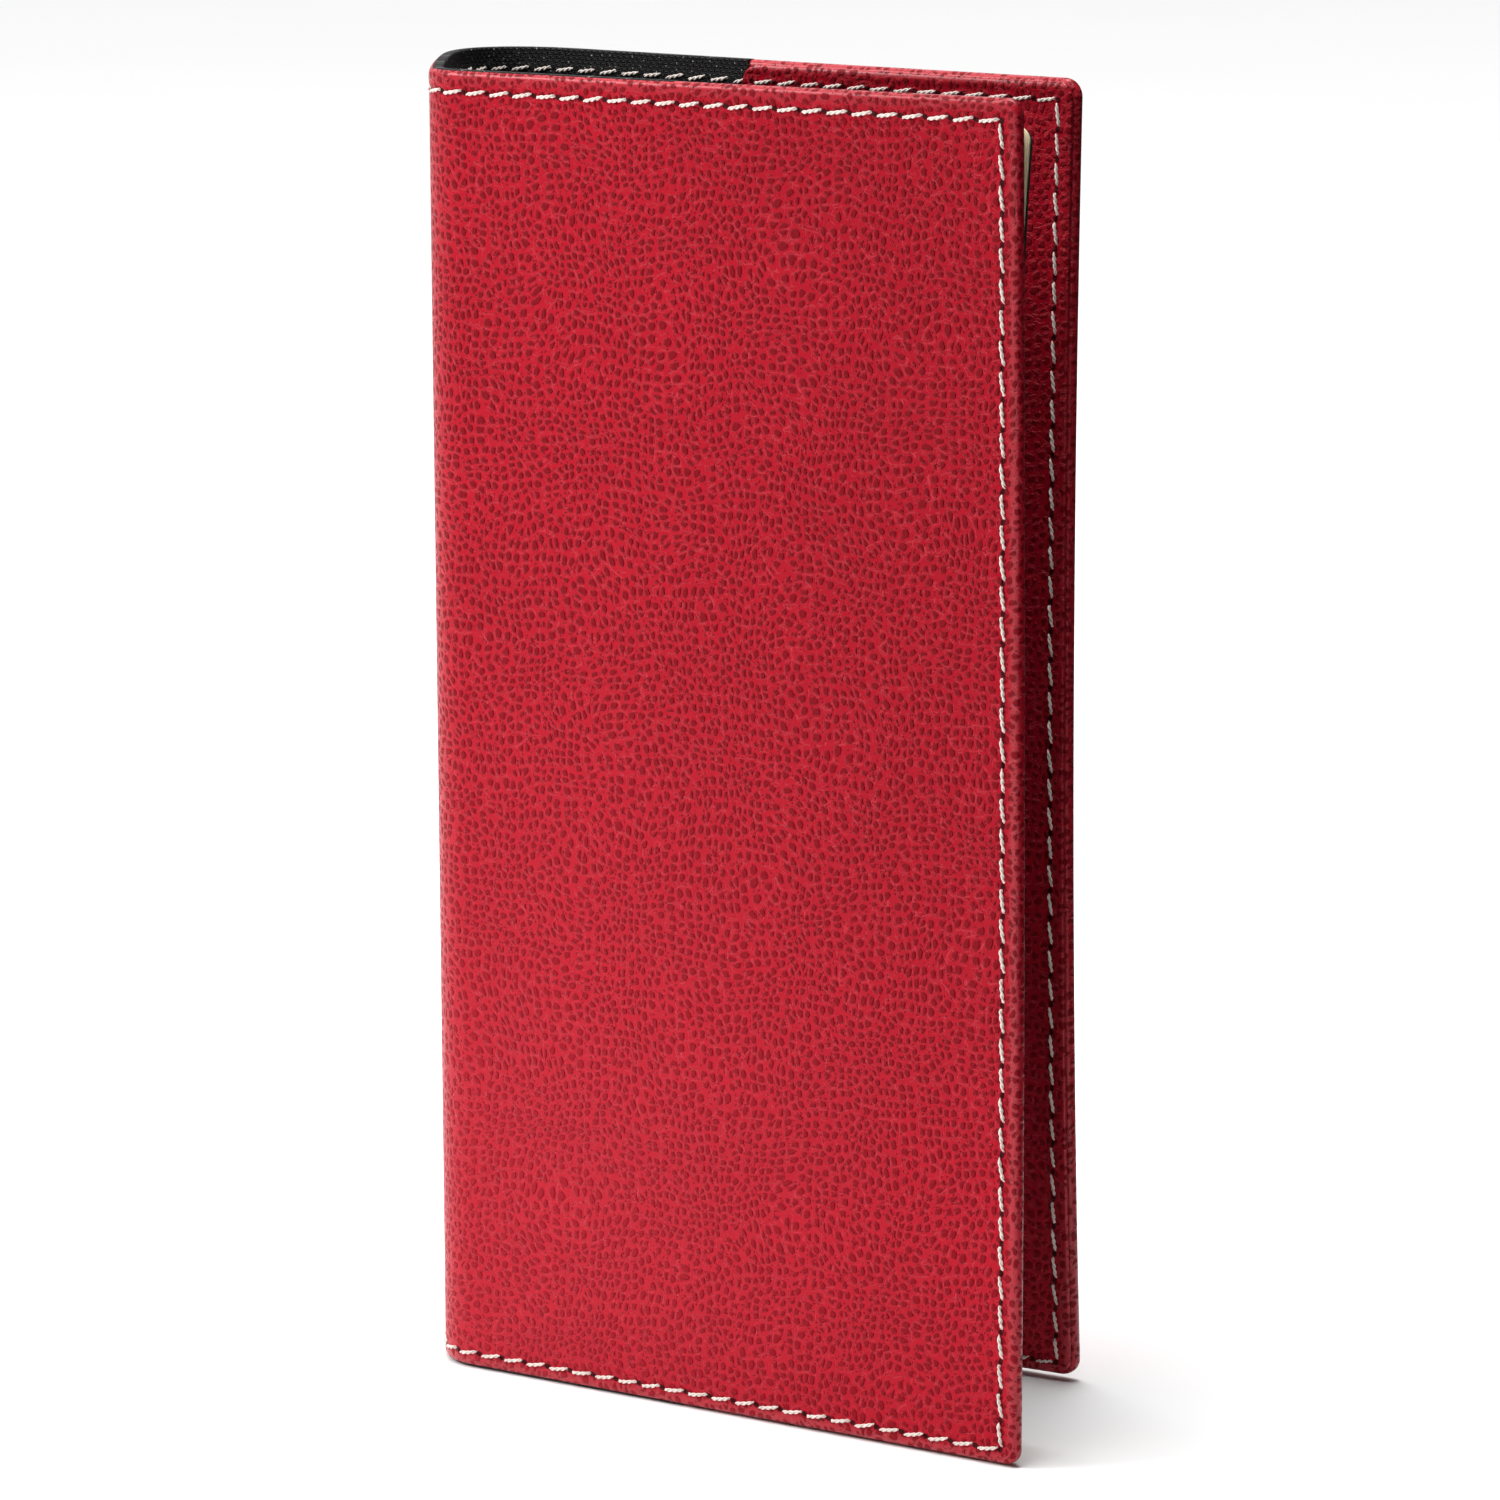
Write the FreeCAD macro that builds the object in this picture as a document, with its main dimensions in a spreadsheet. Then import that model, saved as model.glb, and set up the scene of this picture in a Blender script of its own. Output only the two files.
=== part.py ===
"""Pocket notebook: a stitched soft cover, open in a loop, with a slim sewn booklet
in its front pocket.

The notebook stands on its tail edge.  +Z runs up the spine, the front cover is
parallel to XZ and faces -Y, and its fore edge is at +X.  The origin is under the
middle of the bounding box.  Lengths are in millimetres, angles in degrees.

In plan the cover is one sheet: the front panel, the front fold, the spine strip,
the back fold and the back panel.  Each panel has a frame of its own: u runs from
the fold to the fore edge, and z is height.
"""

import FreeCAD
import Part
import Sketcher
import os

SIZES = {
    # the cover in plan
    "cover_height": 176.0,
    "front_panel": 88.8,
    "back_panel": 87.5,
    "spine_strip": 26.7,
    "front_fold_radius": 8.0,
    "back_fold_radius": 10.0,
    "front_fold_turn": 55.0,
    "back_fold_turn": 128.0,
    "corner_radius": 2.0,
    # the cover's layers
    "skin": 0.8,
    "stiffener": 0.5,
    "lining": 0.4,
    "edge_depth": 2.4,
    "edge_width": 1.6,
    "edge_roll": 0.7,
    "fit_gap": 0.1,
    # the pocket flaps
    "flap_depth": 54.0,
    "flap_skin": 0.7,
    "flap_seam": 2.2,
    "pocket_gap": 0.6,
    # the seam
    "stitch_pitch": 3.85,
    "stitch_length": 3.0,
    "stitch_width": 0.55,
    "stitch_rise": 0.25,
    "head_margin": 2.8,
    "tail_gap": 0.4,
    "fore_margin": 3.5,
    # the booklet
    "card": 0.35,
    "card_play": 0.12,
    "page_width": 79.2,
    "page_height": 167.0,
    "page_corner": 3.0,
    "page_setback": 0.5,
    "booklet_base": 4.3,
    "booklet_hinge": 1.0,
    "section_thickness": 0.6,
    "section_gap": 0.02,
    "page_clearance": 0.1,
}
SECTIONS = 12

doc = FreeCAD.newDocument("pocket_notebook")
sheet = doc.addObject("Spreadsheet::Sheet", "P")
for row, (alias, value) in enumerate(SIZES.items(), start=1):
    sheet.set("A%d" % row, alias)
    sheet.set("B%d" % row, str(value))
    sheet.setAlias("B%d" % row, alias)
doc.recompute()


def cell(alias):
    """A size in an expression."""
    return "P.%s" % alias


H = cell("cover_height")
LAYERS = "(P.skin + P.stiffener + P.lining)"
POCKET_TOP = "(%s + P.pocket_gap + P.flap_skin)" % LAYERS
SECTION_STEP = "(P.section_thickness + P.section_gap)"
BLOCK_FRONT = "(%s + P.page_clearance)" % POCKET_TOP
BLOCK = "(%d * %s)" % (SECTIONS, SECTION_STEP)
CARD_FRONT = "(%s + P.card_play)" % LAYERS
BLOCK_BACK = "(%s + %s)" % (BLOCK_FRONT, BLOCK)

# the plan path, from the front fold's tangent point at u = 0
STRIP_X = "(-P.front_fold_radius * sin(P.front_fold_turn * 1deg))"
STRIP_Y = "(P.front_fold_radius * (1 - cos(P.front_fold_turn * 1deg)))"
STRIP_HEADING = "(180 - P.front_fold_turn)"
STRIP_END_X = "(%s + P.spine_strip * cos(%s * 1deg))" % (STRIP_X, STRIP_HEADING)
STRIP_END_Y = "(%s + P.spine_strip * sin(%s * 1deg))" % (STRIP_Y, STRIP_HEADING)
BACK_HEADING = "(180 - P.front_fold_turn - P.back_fold_turn)"
BACK_CENTRE_X = "(%s + P.back_fold_radius * sin(%s * 1deg))" % (STRIP_END_X, STRIP_HEADING)
BACK_CENTRE_Y = "(%s - P.back_fold_radius * cos(%s * 1deg))" % (STRIP_END_Y, STRIP_HEADING)
BACK_X = "(%s - P.back_fold_radius * sin(%s * 1deg))" % (BACK_CENTRE_X, BACK_HEADING)
BACK_Y = "(%s + P.back_fold_radius * cos(%s * 1deg))" % (BACK_CENTRE_Y, BACK_HEADING)

# the middle of the bounding box in the same plan axes
MIDDLE_X = "((P.front_panel + %s - P.back_fold_radius) / 2)" % BACK_CENTRE_X
MIDDLE_Y = "((%s + P.back_fold_radius) / 2)" % BACK_CENTRE_Y

FRONT = ("0", "0", "0")
SPINE = (STRIP_X, STRIP_Y, STRIP_HEADING)
BACK = (BACK_X, BACK_Y, BACK_HEADING)
FRONT_FOLD = ("0", cell("front_fold_radius"), "(-90 - P.front_fold_turn)")
BACK_FOLD = (BACK_CENTRE_X, BACK_CENTRE_Y, "(%s + 90)" % BACK_HEADING)


def place(item, frame, u="0", v="0", z="0"):
    """Puts an object's own origin at (u, v, z) of a plan frame."""
    x0, y0, heading = frame
    turn = "%s * 1deg" % heading
    across = "(%s) * cos(%s) - (%s) * sin(%s)" % (u, turn, v, turn)
    along = "(%s) * sin(%s) + (%s) * cos(%s)" % (u, turn, v, turn)
    item.Placement = FreeCAD.Placement(FreeCAD.Vector(0, 0, 0), FreeCAD.Rotation(FreeCAD.Vector(0, 0, 1), 1))
    item.setExpression("Placement.Rotation.Angle", turn)
    item.setExpression("Placement.Base.x", "%s - %s + %s" % (x0, MIDDLE_X, across))
    item.setExpression("Placement.Base.y", "%s - %s + %s" % (y0, MIDDLE_Y, along))
    item.setExpression("Placement.Base.z", z)


def new_body(label):
    body = doc.addObject("PartDesign::Body", label)
    body.Label = label
    return body


def plane(body, role):
    for item in body.Origin.OriginFeatures:
        if item.Role == role:
            return item
    raise RuntimeError("no plane " + role)


def rectangle(body, role, size_x, size_y, at=("0", "0", "0")):
    """A rectangle from the sketch's own origin, on one of the body's planes."""
    sketch = body.newObject("Sketcher::SketchObject", body.Label + "_sketch")
    sketch.AttachmentSupport = [(plane(body, role), "")]
    sketch.MapMode = "FlatFace"
    for axis, value in zip("xyz", at):
        sketch.setExpression("AttachmentOffset.Base." + axis, value)
    corners = [(0, 0), (10, 0), (10, 1), (0, 1)]
    for start, end in zip(corners, corners[1:] + corners[:1]):
        sketch.addGeometry(Part.LineSegment(FreeCAD.Vector(*start, 0), FreeCAD.Vector(*end, 0)))
    for line, kind in enumerate(("Horizontal", "Vertical", "Horizontal", "Vertical")):
        sketch.addConstraint(Sketcher.Constraint("Coincident", line, 2, (line + 1) % 4, 1))
        sketch.addConstraint(Sketcher.Constraint(kind, line))
    sketch.addConstraint(Sketcher.Constraint("Coincident", 0, 1, -1, 1))
    for name, constraint, size in (
        ("size_x", Sketcher.Constraint("DistanceX", 0, 1, 0, 2, 10.0), size_x),
        ("size_y", Sketcher.Constraint("DistanceY", 1, 1, 1, 2, 1.0), size_y),
    ):
        number = sketch.addConstraint(constraint)
        sketch.renameConstraint(number, name)
        sketch.setExpression("Constraints." + name, size)
    return sketch


def pad(body, sketch, length):
    feature = body.newObject("PartDesign::Pad", body.Label + "_pad")
    feature.Profile = sketch
    feature.setExpression("Length", length)
    return feature


def hollow(body, sketch, length):
    """A pocket that goes up from its sketch."""
    feature = body.newObject("PartDesign::Pocket", body.Label + "_pocket")
    feature.Profile = sketch
    feature.Reversed = True
    feature.setExpression("Length", length)
    return feature


def edges_where(shape, test):
    return ["Edge%d" % n for n, edge in enumerate(shape.Edges, start=1) if test(edge.BoundBox)]


def fillet(body, base, test, radius):
    doc.recompute()
    feature = body.newObject("PartDesign::Fillet", body.Label + "_fillet")
    feature.Base = (base, edges_where(base.Shape, test))
    feature.setExpression("Radius", radius)
    body.Tip = feature
    return feature


def across(box):
    """An edge square to the sheet, at its fore edge side."""
    return box.YLength > 1e-4 and box.XLength < 1e-4 and box.ZLength < 1e-4 and box.XMax > 20


def slab(label, frame, side, size_u, size_v, size_z, u, v, z, corner=None):
    """A flat layer.  side is +1 where the inside of the cover is at +v, -1 where it is at -v."""
    body = new_body(label)
    sketch = rectangle(body, "XY_Plane", size_u, size_v)
    feature = pad(body, sketch, size_z)
    if corner:
        fillet(body, feature, across, corner)
    near = "(%s)" % v if side > 0 else "(-(%s) - (%s))" % (v, size_v)
    place(body, frame, u, near, z)
    return body


def fold(label, frame, radius, turn, inset, thickness, margin):
    """A layer of the cover where it turns round one fold."""
    body = new_body(label)
    at = ("%s - %s - %s" % (radius, inset, thickness), "0", "0")
    sketch = rectangle(body, "XZ_Plane", thickness, "%s - 2 * (%s)" % (H, margin), at)
    feature = body.newObject("PartDesign::Revolution", label + "_turn")
    feature.Profile = sketch
    feature.ReferenceAxis = (plane(body, "Z_Axis"), [""])
    feature.setExpression("Angle", turn)
    place(body, frame, "0", "0", margin)
    return body


def cover_skin(label, frame, side, length):
    """The leather of one panel, turned in along head, tail and fore edge."""
    body = new_body(label)
    plate = pad(body, rectangle(body, "XY_Plane", length, cell("edge_depth")), H)
    inner = cell("skin") if side > 0 else "0"
    recess = rectangle(
        body,
        "XY_Plane",
        "%s - P.edge_width" % length,
        "P.edge_depth - P.skin",
        ("0", inner, cell("edge_width")),
    )
    tray = hollow(body, recess, "%s - 2 * P.edge_width" % H)
    rounded = fillet(body, tray, across, cell("corner_radius"))
    doc.recompute()
    face = 0.0 if side > 0 else sheet.edge_depth

    def rolled(box):
        on_face = box.YLength < 1e-4 and abs(box.YMin - face) < 1e-4
        return on_face and box.XMax > 1e-3

    fillet(body, rounded, rolled, cell("edge_roll"))
    place(body, frame, "0", "0" if side > 0 else "-P.edge_depth")
    return body


def flap(label, frame, side, length):
    """The pocket flap, sewn down on three sides and open towards the spine."""
    body = new_body(label)
    height = "(%s - 2 * P.edge_width - 2 * P.fit_gap)" % H
    depth = "(P.pocket_gap + P.flap_skin)"
    plate = pad(body, rectangle(body, "XY_Plane", cell("flap_depth"), depth), height)
    gap_at = "0" if side > 0 else cell("flap_skin")
    mouth = rectangle(
        body,
        "XY_Plane",
        "P.flap_depth - P.flap_seam",
        cell("pocket_gap"),
        ("0", gap_at, cell("flap_seam")),
    )
    pocket = hollow(body, mouth, "%s - 2 * P.flap_seam" % height)
    fillet(body, pocket, across, cell("corner_radius"))
    start = "%s - P.edge_width - P.fit_gap - P.flap_depth" % length
    near = LAYERS if side > 0 else "(-%s - %s)" % (LAYERS, depth)
    place(body, frame, start, near, "P.edge_width + P.fit_gap")
    return body


def stitch_pad(label):
    """One stitch: a slot-shaped bar lying along X, rising along Z."""
    body = new_body(label)
    sketch = body.newObject("Sketcher::SketchObject", label + "_sketch")
    sketch.AttachmentSupport = [(plane(body, "XY_Plane"), "")]
    sketch.MapMode = "FlatFace"
    quarter = 1.5707963
    for end in (-1, 1):
        line = Part.LineSegment(FreeCAD.Vector(end, end * 0.25, 0), FreeCAD.Vector(-end, end * 0.25, 0))
        circle = Part.Circle(FreeCAD.Vector(-end, 0, 0), up_axis(), 0.25)
        first = end * quarter
        sketch.addGeometry(line)
        sketch.addGeometry(Part.ArcOfCircle(circle, first, first + 2 * quarter))
    for first, second in ((0, 1), (1, 2), (2, 3), (3, 0)):
        sketch.addConstraint(Sketcher.Constraint("Tangent", first, 2, second, 1))
    sketch.addConstraint(Sketcher.Constraint("Horizontal", 0))
    sketch.addConstraint(Sketcher.Constraint("Equal", 1, 3))
    sketch.addConstraint(Sketcher.Constraint("Symmetric", 1, 3, 3, 3, -1, 1))
    for name, constraint, size in (
        ("radius", Sketcher.Constraint("Radius", 1, 0.25), "P.stitch_width / 2"),
        ("straight", Sketcher.Constraint("DistanceX", 3, 3, 1, 3, 2.0), "P.stitch_length - P.stitch_width"),
    ):
        number = sketch.addConstraint(constraint)
        sketch.renameConstraint(number, name)
        sketch.setExpression("Constraints." + name, size)
    return body, sketch, pad(body, sketch, cell("stitch_rise"))


def stitch_row(label, span, turn, u, v, z):
    """A row of stitches over a span, evenly spaced at about the stitch pitch."""
    body, sketch, bar = stitch_pad(label)
    row = body.newObject("PartDesign::LinearPattern", label + "_row")
    row.Originals = [bar]
    row.Direction = (sketch, ["H_Axis"])
    row.setExpression("Occurrences", "round((%s) / P.stitch_pitch)" % span)
    gaps = "round((%s) / P.stitch_pitch)" % span
    row.setExpression("Length", "(%s) * (1 - 1 / %s)" % (span, gaps))
    body.Tip = row
    body.Placement = FreeCAD.Placement(FreeCAD.Vector(0, 0, 0), turn)
    body.setExpression("Placement.Base.x", u)
    body.setExpression("Placement.Base.y", v)
    body.setExpression("Placement.Base.z", z)
    return body


def seam(label, frame, rows):
    """All the stitches of one panel's seam, as one group of solids."""
    group = doc.addObject("Part::Compound", label)
    group.Label = label
    group.Links = rows
    place(group, frame)
    return group


def facing(normal_y, upright=False):
    """Turns a row so that it rises towards +-v, and runs along u, or along z."""
    tilt = FreeCAD.Rotation(FreeCAD.Vector(1, 0, 0), -90 * normal_y)
    if not upright:
        return tilt
    return tilt.multiply(FreeCAD.Rotation(FreeCAD.Vector(0, 0, 1), -90 * normal_y))


def panel_seam(label, frame, side, length, rows_inside, three_sides=True):
    """Stitches on both faces of one panel, along head and tail, and the fore edge."""
    half = "P.stitch_pitch / 2"
    span_u = "(%s - P.fore_margin)" % length if three_sides else "(%s)" % length
    span_z = "(%s - P.head_margin - P.edge_width - P.tail_gap)" % H
    head = "%s - P.head_margin" % H
    places = [("out", "0", -side, "0", span_u)]
    places += [(name, level, side, start, end) for name, level, start, end in rows_inside]
    rows = []
    for name, v, normal, start, span in places:
        level = "%s" % v if side > 0 else "-(%s)" % v
        part = label + "_" + name
        turn = facing(normal)
        first = "%s + %s" % (start, half)
        rows.append(stitch_row(part + "_head", span, turn, first, level, head))
        rows.append(stitch_row(part + "_tail", span, turn, first, level, "P.edge_width + P.tail_gap"))
        if three_sides and name != "lining":
            turn = facing(normal, upright=True)
            fore = "%s - P.fore_margin" % length
            start = "P.edge_width + P.tail_gap + " + half
            rows.append(stitch_row(part + "_fore", span_z, turn, fore, level, start))
    return seam(label, frame, rows)


def fold_seam(label, frame, radius, turn):
    """The stitches that follow one fold round its outside."""
    rows = []
    count = "round(%s * %s * 1deg / 1rad / P.stitch_pitch)" % (radius, turn)
    for name, z in (("head", "%s - P.head_margin" % H), ("tail", "P.edge_width + P.tail_gap")):
        part = label + "_" + name
        body, sketch, bar = stitch_pad(part)
        sketch.MapMode = "FlatFace"
        sketch.AttachmentSupport = [(plane(body, "YZ_Plane"), "")]
        sketch.setExpression("AttachmentOffset.Base.z", radius)
        ring = body.newObject("PartDesign::PolarPattern", part + "_ring")
        ring.Originals = [bar]
        ring.Axis = (plane(body, "Z_Axis"), [""])
        ring.setExpression("Occurrences", count)
        ring.setExpression("Angle", "%s * (1 - 1 / %s)" % (turn, count))
        body.Tip = ring
        body.Placement = FreeCAD.Placement(FreeCAD.Vector(0, 0, 0), FreeCAD.Rotation(up_axis(), 1))
        body.setExpression("Placement.Rotation.Angle", "%s / %s / 2 * 1deg" % (turn, count))
        body.setExpression("Placement.Base.z", z)
        rows.append(body)
    return seam(label, frame, rows)


def up_axis():
    return FreeCAD.Vector(0, 0, 1)


def panel(name, frame, side, length):
    """The layers of a stiff panel, from the outside in."""
    inner_height = "(%s - 2 * P.edge_width - 2 * P.fit_gap)" % H
    inner_length = "%s - P.edge_width - P.fit_gap" % length
    base = "P.edge_width + P.fit_gap"
    flap_start = "(%s - P.flap_depth)" % inner_length
    stitches = [
        ("lining", LAYERS, "0", flap_start),
        ("flap", POCKET_TOP, flap_start, "(%s - P.fore_margin - %s)" % (length, flap_start)),
    ]
    return [
        cover_skin(name + "_cover_skin", frame, side, length),
        slab(name + "_stiffener", frame, side, inner_length, cell("stiffener"), inner_height, "0",
             cell("skin"), base, cell("corner_radius")),
        slab(name + "_lining", frame, side, inner_length, cell("lining"), inner_height, "0",
             "P.skin + P.stiffener", base, cell("corner_radius")),
        flap(name + "_pocket_flap", frame, side, length),
        panel_seam(name + "_seam", frame, side, length, stitches),
    ]


def spine():
    """The soft strip between the two folds."""
    length = cell("spine_strip")
    inner = "P.skin"
    stitches = [("lining", inner + " + P.lining", "0", length)]
    return [
        slab("spine_skin", SPINE, -1, length, cell("skin"), H, "0", "0", "0"),
        slab("spine_lining", SPINE, -1, length, cell("lining"), "%s - 2 * P.edge_width" % H, "0",
             inner, cell("edge_width")),
        panel_seam("spine_seam", SPINE, -1, length, stitches, three_sides=False),
    ]


def folds():
    nodes = []
    for name, frame, radius, turn in (
        ("front_fold", FRONT_FOLD, cell("front_fold_radius"), cell("front_fold_turn")),
        ("back_fold", BACK_FOLD, cell("back_fold_radius"), cell("back_fold_turn")),
    ):
        nodes.append(fold(name + "_skin", frame, radius, turn, "0", cell("skin"), "0"))
        nodes.append(
            fold(name + "_lining", frame, radius, turn, "P.skin", cell("lining"), cell("edge_width"))
        )
        nodes.append(fold_seam(name + "_seam", frame, radius, turn))
    return nodes


def booklet():
    """Card cover, sewn sections and the card wrapped round their backs."""
    card_length = "(P.page_width + P.page_setback + P.booklet_hinge)"
    height = cell("page_height")
    base = cell("booklet_base")
    start = "P.booklet_hinge"
    nodes = [
        slab("booklet_front_card", FRONT, 1, card_length, cell("card"), height, start, CARD_FRONT, base,
             cell("page_corner")),
        slab("booklet_back_card", FRONT, 1, card_length, cell("card"), height, start,
             "%s + P.page_clearance" % BLOCK_BACK, base, cell("page_corner")),
        slab("booklet_spine_card", FRONT, 1, cell("card"),
             "%s + P.page_clearance + P.card - %s" % (BLOCK_BACK, CARD_FRONT), height,
             start + " - P.card", CARD_FRONT, base),
    ]
    for number in range(1, SECTIONS + 1):
        level = "%s + %d * %s" % (BLOCK_FRONT, number - 1, SECTION_STEP)
        nodes.append(
            slab("section_%02d" % number, FRONT, 1, cell("page_width"), cell("section_thickness"), height,
                 "2 * P.booklet_hinge", level, base, cell("page_corner"))
        )
    return nodes


def check(nodes):
    """Every object has to be whole before anything is written."""
    doc.recompute()
    for item in doc.Objects:
        if "Invalid" in item.State or "Error" in item.State:
            raise RuntimeError("%s: %s" % (item.Label, item.State))
    for item in nodes:
        shape = item.Shape
        if shape.isNull() or not shape.isValid() or not shape.Solids:
            raise RuntimeError("bad shape: " + item.Label)


nodes = (
    panel("front", FRONT, 1, cell("front_panel"))
    + panel("back", BACK, -1, cell("back_panel"))
    + spine()
    + folds()
    + booklet()
)
check(nodes)
os.makedirs("parts", exist_ok=True)
for item in nodes:
    item.Shape.exportStep(os.path.join("parts", item.Label + ".step"))
    print("%-22s solids %3d volume %10.2f mm3" % (item.Label, len(item.Shape.Solids), item.Shape.Volume))
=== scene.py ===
import math

import bpy
import numpy as np
from mathutils import Matrix, Vector


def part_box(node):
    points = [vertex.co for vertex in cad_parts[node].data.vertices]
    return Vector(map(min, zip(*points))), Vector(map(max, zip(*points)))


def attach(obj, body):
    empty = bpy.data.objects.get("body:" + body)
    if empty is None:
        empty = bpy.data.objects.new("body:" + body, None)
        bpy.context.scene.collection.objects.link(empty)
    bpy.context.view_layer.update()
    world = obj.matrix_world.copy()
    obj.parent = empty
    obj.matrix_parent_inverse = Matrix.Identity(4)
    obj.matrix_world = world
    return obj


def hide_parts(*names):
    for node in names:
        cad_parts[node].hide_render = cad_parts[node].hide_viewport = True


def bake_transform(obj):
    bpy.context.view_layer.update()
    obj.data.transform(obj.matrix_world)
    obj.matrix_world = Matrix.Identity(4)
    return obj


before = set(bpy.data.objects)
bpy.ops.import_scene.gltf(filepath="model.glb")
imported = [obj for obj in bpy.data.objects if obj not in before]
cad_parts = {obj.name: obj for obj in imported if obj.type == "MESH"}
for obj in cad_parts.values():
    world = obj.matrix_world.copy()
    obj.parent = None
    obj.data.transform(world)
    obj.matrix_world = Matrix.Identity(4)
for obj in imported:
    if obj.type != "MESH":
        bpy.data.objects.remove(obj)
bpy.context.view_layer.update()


# ---------------------------------------------------------------- the soft case in plan
# The case is one long sheet of leatherette, 176 mm tall, stood on its tail edge. It runs
# from the front fore edge round two soft bends to the back fore edge. Sizes are in mm.

MM = 0.001
CASE_HEIGHT = 176.0
FRONT_LENGTH = 88.8
BACK_LENGTH = 87.5
SPINE_STRIP = 26.7
FRONT_BEND = (8.0, 55.0)
BACK_BEND = (10.0, 128.0)
BEND_POINTS = 81


def soft_bend(radius, turn):
    """A bend that opens out flat: its turn grows as 3t2 - 2t3 along the chord.

    Gives the places along the chord, the rise over it, and how far it starts from the corner.
    """
    half = math.radians(turn) / 2
    t = np.linspace(0, 1, BEND_POINTS)
    slope = np.tan(half * (1 - 2 * (3 * t**2 - 2 * t**3)))
    rise = np.concatenate([[0], np.cumsum((slope[1:] + slope[:-1]) / 2 * np.diff(t))])
    past_corner = radius * (1 / math.cos(half) - 1)
    chord = past_corner / (math.tan(half) / 2 - rise.max())
    return t * chord, rise * chord, chord / 2 / math.cos(half)


def plan_path():
    """The outer face in plan: points, headings, run along the sheet, and each bend's two ends."""
    front_heading = 180.0
    strip_heading = front_heading - FRONT_BEND[1]
    back_heading = strip_heading - BACK_BEND[1]
    reach = [r * math.tan(math.radians(t) / 2) for r, t in (FRONT_BEND, BACK_BEND)]
    lengths = [FRONT_LENGTH + reach[0], reach[0] + SPINE_STRIP + reach[1], reach[1] + BACK_LENGTH]
    headings = [front_heading, strip_heading, back_heading]
    corners = [np.array([FRONT_LENGTH, 0.0])]
    for length, heading in zip(lengths, headings):
        a = math.radians(heading)
        corners.append(corners[-1] + length * np.array([math.cos(a), math.sin(a)]))
    points = [corners[0]]
    turns = [front_heading]
    ends = []
    for number, (radius, turn) in enumerate((FRONT_BEND, BACK_BEND)):
        along, rise, back_off = soft_bend(radius, turn)
        a = math.radians(headings[number])
        start = corners[number + 1] - back_off * np.array([math.cos(a), math.sin(a)])
        middle = a - math.radians(turn) / 2
        chord = np.array([math.cos(middle), math.sin(middle)])
        side = np.array([-chord[1], chord[0]])
        bend = start + along[:, None] * chord + rise[:, None] * side
        share = np.linspace(0, 1, BEND_POINTS)
        points.extend(bend)
        turns.extend(headings[number] - turn * (3 * share**2 - 2 * share**3))
        ends.append((bend[0], bend[-1]))
    points.append(corners[-1])
    turns.append(back_heading)
    points = np.array(points)
    run = np.concatenate([[0], np.cumsum(np.linalg.norm(np.diff(points, axis=0), axis=1))])
    return points, np.array(turns), run, ends


PATH, TURNS, RUN, BEND_ENDS = plan_path()
CASE_LENGTH = RUN[-1]
FRONT_FLAT = RUN[1]
BACK_FLAT = CASE_LENGTH - RUN[2 * BEND_POINTS]
MIDDLE_OF_STRIP = (RUN[BEND_POINTS] + RUN[BEND_POINTS + 1]) / 2
HALVES = {"front": MIDDLE_OF_STRIP, "back": CASE_LENGTH - MIDDLE_OF_STRIP}
front_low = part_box("front_cover_skin")[0]
PLAN_ORIGIN = np.array([front_low.x, front_low.y]) / MM

BACK_FLARE_TAIL, BACK_FLARE_HEAD = 5.3, 1.6
TAIL_SLIDE = 2.4
HEAD_DROP = 0.5
TAIL_LIFT = 0.4
FRONT_BOW = 0.5
SPINE_BULGE = 0.45
BULGE_REACH = 24.0


def leaning(s, z):
    """How far the case stands inwards of its plan.

    The back cover's fore corners lean out, the front is a little bowed and the spine a little round.
    """
    share = np.clip((CASE_LENGTH - s) / BACK_LENGTH, 0, 2)
    back = np.clip(1 - share, 0, 1) ** 1.3
    front = np.clip(1 - s / FRONT_LENGTH, 0, 1) ** 1.3
    height = z / CASE_HEIGHT
    belly = 4 * height * (1 - height)
    strip = np.clip(1 - np.abs(s - MIDDLE_OF_STRIP) / BULGE_REACH, 0, 1)
    round_spine = strip**2 * (3 - 2 * strip)
    flare = np.where(height < 0.5, BACK_FLARE_TAIL, BACK_FLARE_HEAD)
    return front * FRONT_BOW * belly - back * flare * (1 - belly) - SPINE_BULGE * round_spine


def case_points(s, z, depth):
    """Points in metres of places on the case: s along the sheet, z up, depth in from its outer face."""
    s, z, depth = np.broadcast_arrays(*(np.asarray(value, float) for value in (s, z, depth)))
    x = np.interp(s, RUN, PATH[:, 0])
    y = np.interp(s, RUN, PATH[:, 1])
    heading = np.radians(np.interp(s, RUN, TURNS))
    inward = depth + leaning(s, z)
    share = np.clip(1 - (CASE_LENGTH - s) / BACK_LENGTH, 0, 1.1)
    height = z / CASE_HEIGHT
    low = np.clip(1 - 2 * height, 0, 1)
    beyond = np.where(s < 0, s, np.where(s > CASE_LENGTH, s - CASE_LENGTH, 0))
    slide = beyond - TAIL_SLIDE * share * low**2
    x = x + slide * np.cos(heading) + inward * np.sin(heading) + PLAN_ORIGIN[0]
    y = y + slide * np.sin(heading) - inward * np.cos(heading) + PLAN_ORIGIN[1]
    z = z - HEAD_DROP * share * height + TAIL_LIFT * share**2 * (1 - height)
    return np.stack([x, y, z], -1) * MM


def case_side(e, side):
    """A distance from one fore edge as a place along the whole sheet."""
    return e if side == "front" else CASE_LENGTH - e


def grid_faces(shape, first, flip):
    rows, columns = shape
    r, c = np.meshgrid(np.arange(rows - 1), np.arange(columns - 1), indexing="ij")
    a = (first + r * columns + c).ravel()
    quads = np.stack([a, a + 1, a + columns + 1, a + columns], 1)
    return quads[:, ::-1] if flip else quads


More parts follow.
